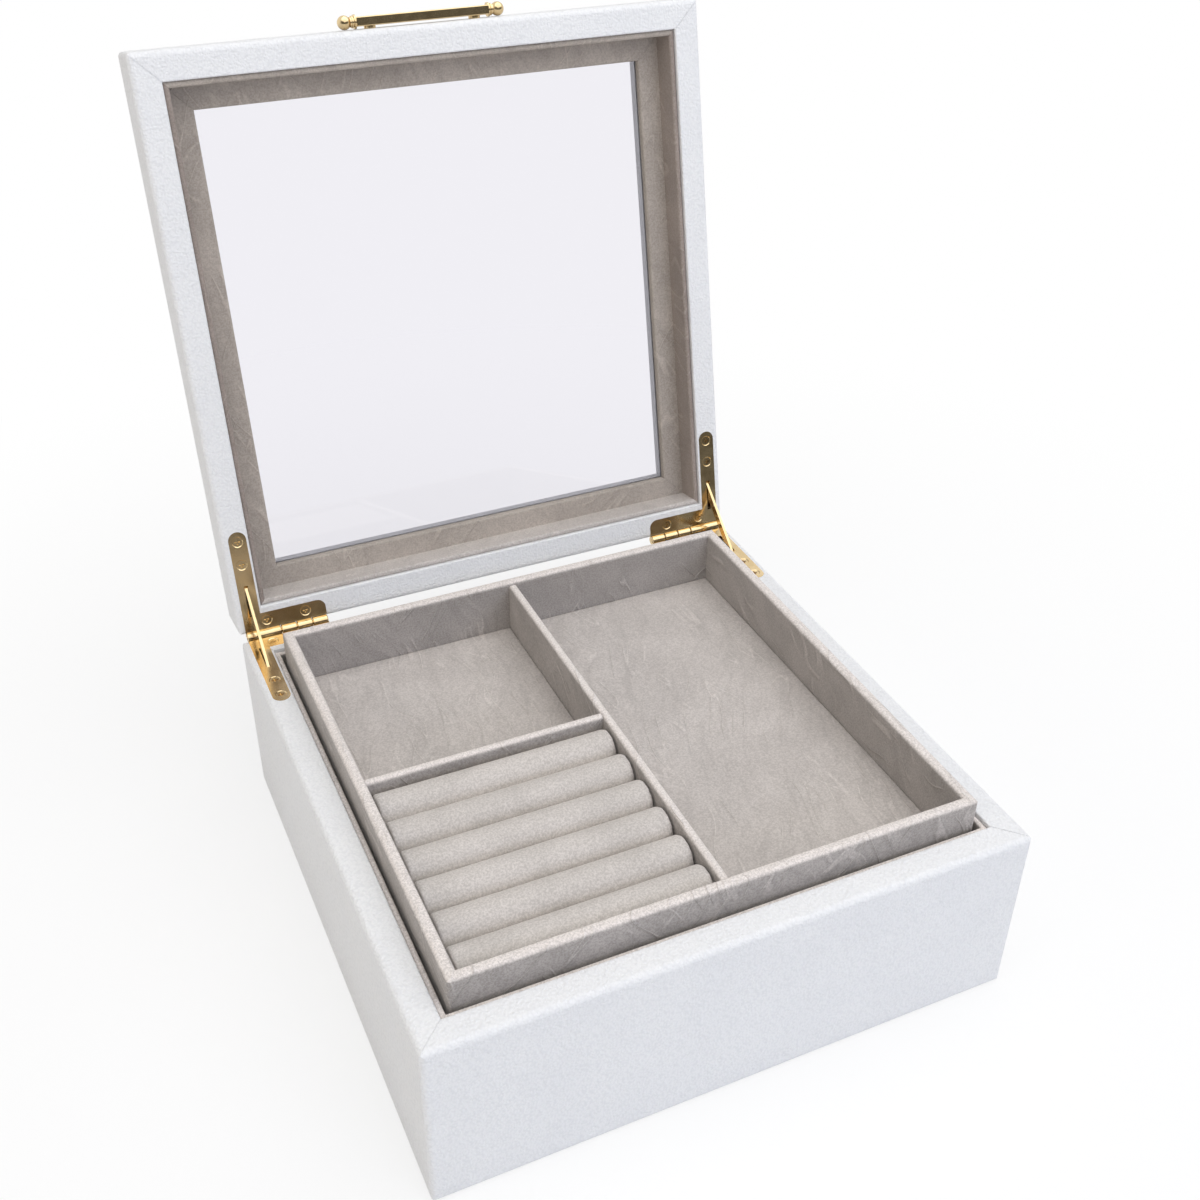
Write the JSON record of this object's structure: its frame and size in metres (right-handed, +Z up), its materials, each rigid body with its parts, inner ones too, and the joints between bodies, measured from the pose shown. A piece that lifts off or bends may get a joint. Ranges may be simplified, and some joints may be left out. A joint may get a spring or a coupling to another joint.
{
  "type": "ring display box",
  "caption": "Square leather-covered ring and jewellery box with a glass window lid on stay hinges, suede lining, and a lift-out tray of ring rolls and open compartments.",
  "frame": {"origin": "centre of the flat underside of the base", "axes": "+Z up out of the base, front of the case and the handle towards -Y with the lid shut, hinge axis along X at the back (+Y); stored with the lid open on its stays and the tray on its ledges"},
  "size_m": [0.25, 0.3279, 0.3314],
  "materials": {
    "leatherette": "fine pebble grain, satin",
    "board": "raw fibreboard, hidden",
    "suede": "brushed suede",
    "ring_foam": "brushed suede over foam",
    "felt": "matt felt",
    "gold": "polished, gold coloured",
    "glass": "clear, polished"
  },
  "bodies": {
    "base": {"base_cover": "leatherette", "base_wall_front": "board", "base_wall_right": "board", "base_wall_back": "board", "base_wall_left": "board", "bottom_panel": "board", "underside_felt": "felt", "floor_pad": "suede", "liner_front": "suede", "liner_right": "suede", "liner_back": "suede", "liner_left": "suede", "tray_ledge_left": "suede", "tray_ledge_right": "suede", "hinge_base_left": "gold", "hinge_base_right": "gold", "hinge_pins": "gold", "base_screws": "gold"},
    "lid": {"lid_cover": "leatherette", "lid_rail_front": "board", "lid_rail_right": "board", "lid_rail_back": "board", "lid_rail_left": "board", "lid_top_frame": "board", "glass_pane": "glass", "lid_mat": "suede", "lid_liner_front": "suede", "lid_liner_right": "suede", "lid_liner_back": "suede", "lid_liner_left": "suede", "hinge_lid_left": "gold", "hinge_lid_right": "gold", "lid_screws": "gold", "handle_bar": "gold", "handle_finials": "gold", "handle_screws": "gold"},
    "stays": {"stay_left": "gold", "stay_right": "gold"},
    "tray": {"tray_bottom": "suede", "tray_wall_front": "suede", "tray_wall_right": "suede", "tray_wall_back": "suede", "tray_wall_left": "suede", "long_divider": "suede", "cross_divider": "suede", "pad_back_left": "suede", "pad_right": "suede", "ring_roll_1": "ring_foam", "ring_roll_2": "ring_foam", "ring_roll_3": "ring_foam", "ring_roll_4": "ring_foam", "ring_roll_5": "ring_foam", "ring_roll_6": "ring_foam"}
  },
  "joints": [
    {"name": "lid_hinge", "type": "hinge", "parent": "base", "child": "lid", "pos_m": [0, 0.1265, 0.0821], "axis": [-1, 0, 0], "range_deg": [-102, 0]},
    {"name": "stay_swing", "type": "hinge", "parent": "base", "child": "stays", "pos_m": [0, 0.1265, 0.0821], "axis": [-1, 0, 0], "range_deg": [-51, 0]},
    {"name": "tray_lift", "type": "slide", "parent": "base", "child": "tray", "axis": [0, 0, 1], "range_m": [0, 0.06]}
  ],
  "couplings": [
    {"joint": "stay_swing", "follows": "lid_hinge", "ratio": 0.5}
  ]
}
